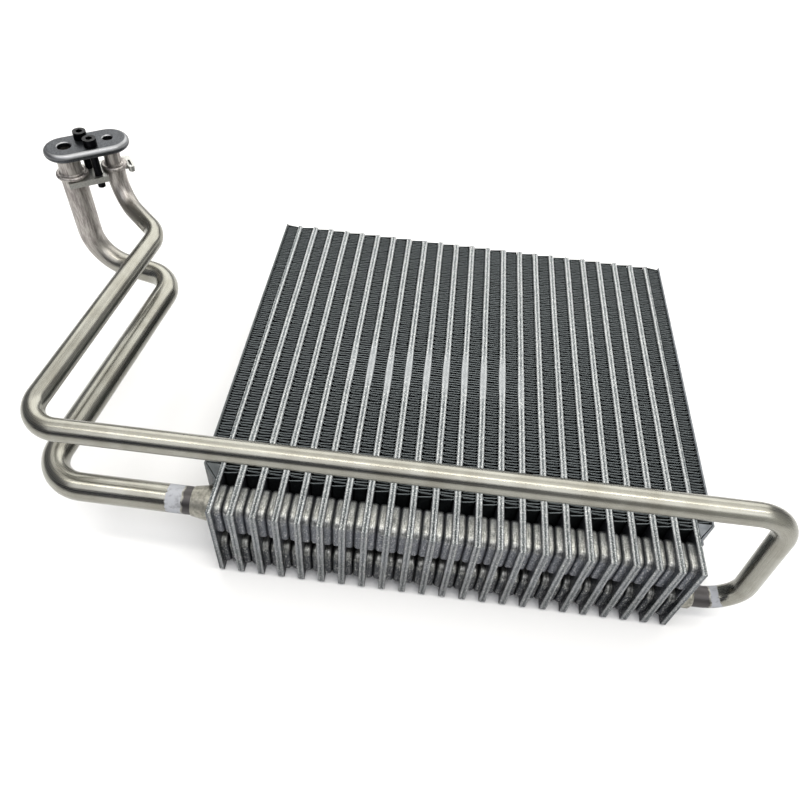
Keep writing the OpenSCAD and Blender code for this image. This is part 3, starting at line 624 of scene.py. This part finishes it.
def makeTube(index):
    name = f"tube_{index:02d}"
    low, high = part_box(name)
    middle = (index - (tubeCount + 1) / 2) * tubeShape["pitchMm"] * mm
    bm = bmesh.new()
    bm.from_mesh(nodes[name].data)
    bmesh.ops.remove_doubles(bm, verts=bm.verts, dist=meshCare["weldMm"] * mm)
    bmesh.ops.dissolve_limit(bm, angle_limit=math.radians(meshCare["flatDegrees"]), verts=bm.verts,
                             edges=bm.edges)
    roundRims(bm, low, high)
    roundCorner(bm, low)
    steps = int((high.y - low.y - tubeShape["clearOfTankMm"] * mm) / (tubeShape["cutMm"] * mm))
    for i in range(steps):
        y = low.y + tubeShape["clearOfTankMm"] * mm + i * tubeShape["cutMm"] * mm
        cutThrough(bm, (0, y, 0), (0, 1, 0))
    pressLayer = bm.verts.layers.float.new("pressed")
    farLean = tubeNoise(index, tubeShape["leanSeed"]) * tubeShape["farLeanMm"] * mm
    farDip = max(0.0, tubeNoise(index, tubeShape["dipSeed"])) * tubeShape["farDipMm"] * mm
    step, start = tubeShape["waveSeed"]
    for v in bm.verts:
        y = v.co.y
        wave = tubeNoise(index, (step, y / (tubeShape["waveLongMm"] * mm), start))
        near = rampShare(y - low.y, tubeShape["waveFromMm"] * mm, tubeShape["waveFullMm"] * mm)
        v.co.x += wave * tubeShape["waveMm"] * mm * near
        rim = rampShare(v.co.z, tubeShape["edgeZMm"] * mm,
                        (tubeShape["edgeZMm"] + tubeShape["rimFadeMm"]) * mm)
        dent = dentShare(index, y) * rim
        if v.co.z > high.z - tubeShape["rimMm"] * mm and abs(v.co.x - middle) < tubeShape["midBandMm"] * mm:
            v.co.z += (high.z - v.co.z) * dent
        v.co.x += (v.co.x - middle) * dentBand["widen"] * dent
        v.co.z -= dentBand["sinkMm"] * mm * dent * rim
        v[pressLayer] = dent
        end = rampShare(y, high.y - tubeShape["farMm"] * mm, high.y) * rim
        v.co.x += farLean * end
        v.co.z -= farDip * end
        v.co.y = max(v.co.y, low.y)
    newPiece(f"stampedTube_{index:02d}", bm, sheetMaterial, [name],
             tubeShape["smoothDegrees"])


for index in range(1, tubeCount + 1):
    makeTube(index)
print("tubes stamped")


# Pipes: a ring swept along the route, with its bends slightly oval; sizes and places are in mm
mounts = {m["name"]: m["pos_m"] for m in frame["record"]["mounts"]}
suctionPipe = {
    "name": "suction", "diameter": 16.0, "wall": 1.3, "bends": [22, 20, 24], "sides": 40, "oval": 0.07,
    "route": [(-132.0, -112.4, 49.2), (-234.0, -112.4, 49.2), (-212.4, 68.2, 49.2)],
    "lastRise": 49.2, "port": "suction_port", "stub": 14.4,
}
liquidPipe = {
    "name": "liquid", "diameter": 12.7, "wall": 1.1, "bends": [19] * 5, "sides": 36, "oval": 0.07,
    "route": [(132.0, -114.1, 15.8), (169.9, -114.1, 15.8), (162.5, -114.1, 106.2),
              (-234.5, -105.7, 91.4), (-215.9, 64.2, 91.4)],
    "lastRise": 91.4, "port": "liquid_port", "stub": 10.6,
}
pipeSweep = {
    "straightMm": 8.0, "turnDegrees": 7.5, "fewestTurns": 4, "beadTopMm": 120.2, "neckMm": 0.6,
    "pipeTopMm": 135.2, "smoothDegrees": 40,
}


def makePipe(pipe, material):
    portX, portY = mounts[pipe["port"]][:2]
    route = [Vector(p) * mm for p in pipe["route"]]
    route.append(Vector((portX, portY, pipe["lastRise"] * mm)))
    route.append(Vector((portX, portY, pipeSweep["beadTopMm"] * mm)))
    ways = [(b - a).normalized() for a, b in zip(route, route[1:])]
    radius = pipe["diameter"] / 2 * mm
    bm = bmesh.new()
    placeLayer = bm.verts.layers.float_vector.new("pipePlace")
    facing = ways[0].to_track_quat("Z", "Y").to_matrix().to_4x4()
    ring = bmesh.ops.create_circle(bm, radius=radius, segments=pipe["sides"],
                                   matrix=Matrix.Translation(route[0]) @ facing)["verts"]
    for i, v in enumerate(ring):
        turn = 2 * math.pi * i / pipe["sides"]
        v[placeLayer] = Vector((math.cos(turn) * radius, math.sin(turn) * radius, 0))
    edges = bm.edges[:]
    squeezes = []

    def step(move, length):
        nonlocal edges
        made = bmesh.ops.extrude_edge_only(bm, edges=edges)
        verts = newVerts(made)
        fresh = set(verts)
        edges = [e for e in newEdges(made) if fresh.issuperset(e.verts)]
        for v in verts:
            v.co = move @ v.co
            v[placeLayer].z += length
        return verts

    for i, way in enumerate(ways):
        start = 0 if i == 0 else pipe["bends"][i - 1] * mm * math.tan(ways[i - 1].angle(way) / 2)
        stop = 0 if i == len(ways) - 1 else pipe["bends"][i] * mm * math.tan(way.angle(ways[i + 1]) / 2)
        length = (route[i + 1] - route[i]).length - start - stop
        count = max(1, round(length / (pipeSweep["straightMm"] * mm)))
        for _ in range(count):
            step(Matrix.Translation(way * length / count), length / count)
        centre = route[i + 1] - way * stop
        if i == len(ways) - 1:
            break
        bend = pipe["bends"][i] * mm
        angle = way.angle(ways[i + 1])
        axis = way.cross(ways[i + 1]).normalized()
        hub = centre + axis.cross(way) * bend
        count = max(pipeSweep["fewestTurns"], round(math.degrees(angle) / pipeSweep["turnDegrees"]))
        turn = Matrix.Translation(hub) @ Matrix.Rotation(angle / count, 4, axis) @ Matrix.Translation(-hub)
        for k in range(count):
            verts = step(turn, bend * angle / count)
            centre = turn @ centre
            share = math.sin(math.pi * (k + 1) / count)
            squeezes.append((verts, centre.copy(), (hub - centre).normalized(), share))
    neck = pipeSweep["neckMm"] * mm
    above = (pipeSweep["pipeTopMm"] - pipeSweep["beadTopMm"]) * mm - neck
    narrow = pipe["stub"] / pipe["diameter"]
    port = Matrix.Translation((portX, portY, 0))
    taper = port @ Matrix.Diagonal((narrow, narrow, 1, 1)) @ port.inverted()
    step(Matrix.Translation((0, 0, neck)) @ taper, neck)
    step(Matrix.Translation((0, 0, above)), above)
    for verts, middle, inward, share in squeezes:
        for v in verts:
            v.co -= inward * (v.co - middle).dot(inward) * pipe["oval"] * share
    bmesh.ops.recalc_face_normals(bm, faces=bm.faces)
    bmesh.ops.solidify(bm, geom=bm.faces, thickness=pipe["wall"] * mm)
    endLength = max(v[placeLayer].z for v in bm.verts)
    addBead(bm, portX, portY, pipe)
    for v in bm.verts:
        if v[placeLayer].length == 0:
            v[placeLayer] = Vector((v.co.x - portX, v.co.y - portY, endLength))
    newPiece(f"{pipe['name']}Pipe", bm, material, [f"{pipe['name']}_pipe"],
             pipeSweep["smoothDegrees"])


beadShape = {
    "highMm": 3.0, "outMm": 2.2, "sunkMm": 0.2, "roundShare": 0.48, "roundSteps": 4, "turnSteps": 48,
}


def addBead(bm, x, y, pipe):
    # a rounded ring at the top of the wide part, its inner side sunk into the pipe's wall
    radius = pipe["diameter"] / 2 * mm
    high, out, sunk = (beadShape[key] * mm for key in ("highMm", "outMm", "sunkMm"))
    low = pipeSweep["beadTopMm"] * mm - high
    outline = [(radius - sunk, 0), (radius + out, 0), (radius + out, high), (radius - sunk, high)]
    verts = [bm.verts.new((x + r, y, low + z)) for r, z in outline]
    for a, b in zip(verts, verts[1:] + verts[:1]):
        bm.edges.new((a, b))
    rounded = bmesh.ops.bevel(bm, geom=verts[1:3], offset=high * beadShape["roundShare"],
                              offset_type="ABSOLUTE", segments=beadShape["roundSteps"], profile=0.5,
                              affect="VERTICES", material=-1)
    loop = set(rounded["verts"]) | {verts[0], verts[3]}
    wires = [e for e in bm.edges if e.is_wire]
    bmesh.ops.spin(bm, geom=list(loop) + wires, cent=(x, y, 0), axis=(0, 0, 1), angle=2 * math.pi,
                   steps=beadShape["turnSteps"], use_merge=True)


makePipe(suctionPipe, suctionMaterial)
makePipe(liquidPipe, liquidMaterial)
print("pipes bent")


# Side plates: a folded corner closes the gap between the bent end and the end tube
sidePlate = {
    "tubeMm": 133.0, "plateMm": 140.9, "footMm": -105.4, "bendMm": -96.3, "topMm": 64.9, "thickMm": 0.8,
    "smoothDegrees": 30,
}


def makeSidePlate(side, hand, material):
    name = f"side_plate_{hand}"
    bm = bmesh.new()
    bm.from_mesh(nodes[name].data)
    bmesh.ops.remove_doubles(bm, verts=bm.verts, dist=meshCare["weldMm"] * mm)
    inner, outer = side * sidePlate["tubeMm"] * mm, side * sidePlate["plateMm"] * mm
    foot, bend, top = (sidePlate[key] * mm for key in ("footMm", "bendMm", "topMm"))
    corners = [bm.verts.new(place) for place in ((inner, foot, top), (outer, bend, top), (inner, bend, top))]
    lid = bm.faces.new(corners if side > 0 else corners[::-1])
    wall = bmesh.ops.extrude_face_region(bm, geom=[lid], use_keep_orig=True)
    bmesh.ops.translate(bm, verts=newVerts(wall), vec=(0, 0, -sidePlate["thickMm"] * mm))
    bmesh.ops.recalc_face_normals(bm, faces=bm.faces)
    newPiece(f"{hand}SidePlate", bm, material, [name], sidePlate["smoothDegrees"])


# the left plate takes the copy painted darker as painted shade
makeSidePlate(-1, "left", plainMaterials["sideShaded"])
makeSidePlate(1, "right", plainMaterials["side"])
print("side plates folded")


# Fittings: the CAD's own shapes, each with its finish
fittings = {
    "suction_ferrule": "ferrule", "liquid_ferrule": "ferrule", "port_plate": "block", "clamp_plate": "clamp",
    "clamp_screws": "screw", "port_seals": "seal",
}
for name, look in fittings.items():
    dressNode(name, plainMaterials[look])
print("fittings dressed")


# Stage: a pale floor, a room that is dim but for its right side, and large soft lights; places in metres
floorLook = {"colour": "EEEEEE", "halfM": 4.0, "rough": 0.9}
roomLook = {
    "near": "4A4C55", "nearRight": "EEEEEA", "far": "909194", "rightFrom": (0.05, 0.45),
    "farFrom": (-0.6, 0.6), "strength": 1.0,
}
lights = [
    {"name": "overhead", "at": (0.0, 0.15, 1.3), "aim": (0, 0.15, 0), "wide": 2.2, "deep": 1.1,
     "radiance": 1.6, "colour": "FFFDF8"},
    {"name": "tubeLamp", "at": (0.0, -0.22, 1.2), "aim": (0, -0.12, 0), "wide": 1.8, "deep": 0.14,
     "radiance": 7.0, "colour": "FFFCF6"},
    {"name": "backSheet", "at": (0.0, 1.25, 0.95), "aim": (0, 0, 0), "wide": 2.6, "deep": 1.1,
     "radiance": 2.6, "colour": "FFFEFA"},
    {"name": "frontSheet", "at": (0.0, -0.8, 1.15), "aim": (0, 0, 0), "wide": 2.2, "deep": 0.75,
     "radiance": 2.2, "colour": "FDFDFF"},
]
camera = {
    "at": (-0.0325, -0.3159, 0.3938), "lens": 31.89, "clipM": 0.01,
    "right": (0.99244, 0.10187, 0.06842), "up": (-0.12185, 0.75221, 0.64756),
    "back": (0.01451, -0.65100, 0.75894),
}


def makeFloor():
    bm = bmesh.new()
    bmesh.ops.create_grid(bm, x_segments=1, y_segments=1, size=floorLook["halfM"])
    mesh = bpy.data.meshes.new("paleFloor")
    bm.to_mesh(mesh)
    bm.free()
    floor = bpy.data.objects.new("paleFloor", mesh)
    bpy.context.scene.collection.objects.link(floor)
    material, shader = startMaterial("matt white paper")
    shader.inputs["Base Color"].default_value = hexColour(floorLook["colour"])
    shader.inputs["Roughness"].default_value = floorLook["rough"]
    mesh.materials.append(material)


def makeWorld():
    world = bpy.data.worlds.new("dimRoom")
    bpy.context.scene.world = world
    world.use_nodes = True
    tree = world.node_tree
    way = addNode(tree, "ShaderNodeTexCoord").outputs["Generated"]
    sides = addNode(tree, "ShaderNodeSeparateXYZ", {"Vector": way})
    low, high = roomLook["rightFrom"]
    rightShare = addNode(tree, "ShaderNodeMapRange",
                         {"Value": sides.outputs["X"], "From Min": low, "From Max": high})
    near = addNode(tree, "ShaderNodeMix",
                   {0: rightShare.outputs[0], 6: hexColour(roomLook["near"]),
                    7: hexColour(roomLook["nearRight"])}, data_type="RGBA")
    low, high = roomLook["farFrom"]
    farShare = addNode(tree, "ShaderNodeMapRange",
                       {"Value": sides.outputs["Y"], "From Min": low, "From Max": high})
    colour = addNode(tree, "ShaderNodeMix",
                     {0: farShare.outputs[0], 6: near.outputs[2], 7: hexColour(roomLook["far"])},
                     data_type="RGBA")
    tree.links.new(colour.outputs[2], tree.nodes["Background"].inputs["Color"])
    tree.nodes["Background"].inputs["Strength"].default_value = roomLook["strength"]


def makeLight(spec):
    light = bpy.data.lights.new(spec["name"], "AREA")
    light.shape = "RECTANGLE"
    light.size = spec["wide"]
    light.size_y = spec["deep"]
    light.energy = spec["radiance"] * math.pi * spec["wide"] * spec["deep"]
    light.color = hexColour(spec["colour"])[:3]
    lamp = bpy.data.objects.new(spec["name"], light)
    lamp.location = spec["at"]
    aim = Vector(spec["aim"]) - Vector(spec["at"])
    lamp.rotation_euler = aim.to_track_quat("-Z", "Y").to_euler()
    bpy.context.scene.collection.objects.link(lamp)


def makeCamera():
    data = bpy.data.cameras.new("camera")
    data.lens = camera["lens"]
    data.clip_start = camera["clipM"]
    eye = bpy.data.objects.new("camera", data)
    turn = Matrix((camera["right"], camera["up"], camera["back"])).transposed()
    eye.matrix_world = Matrix.Translation(camera["at"]) @ turn.to_4x4()
    bpy.context.scene.collection.objects.link(eye)
    bpy.context.scene.camera = eye


makeFloor()
makeWorld()
for spec in lights:
    makeLight(spec)
makeCamera()
bpy.context.scene.view_settings.view_transform = "Standard"
print("stage set")
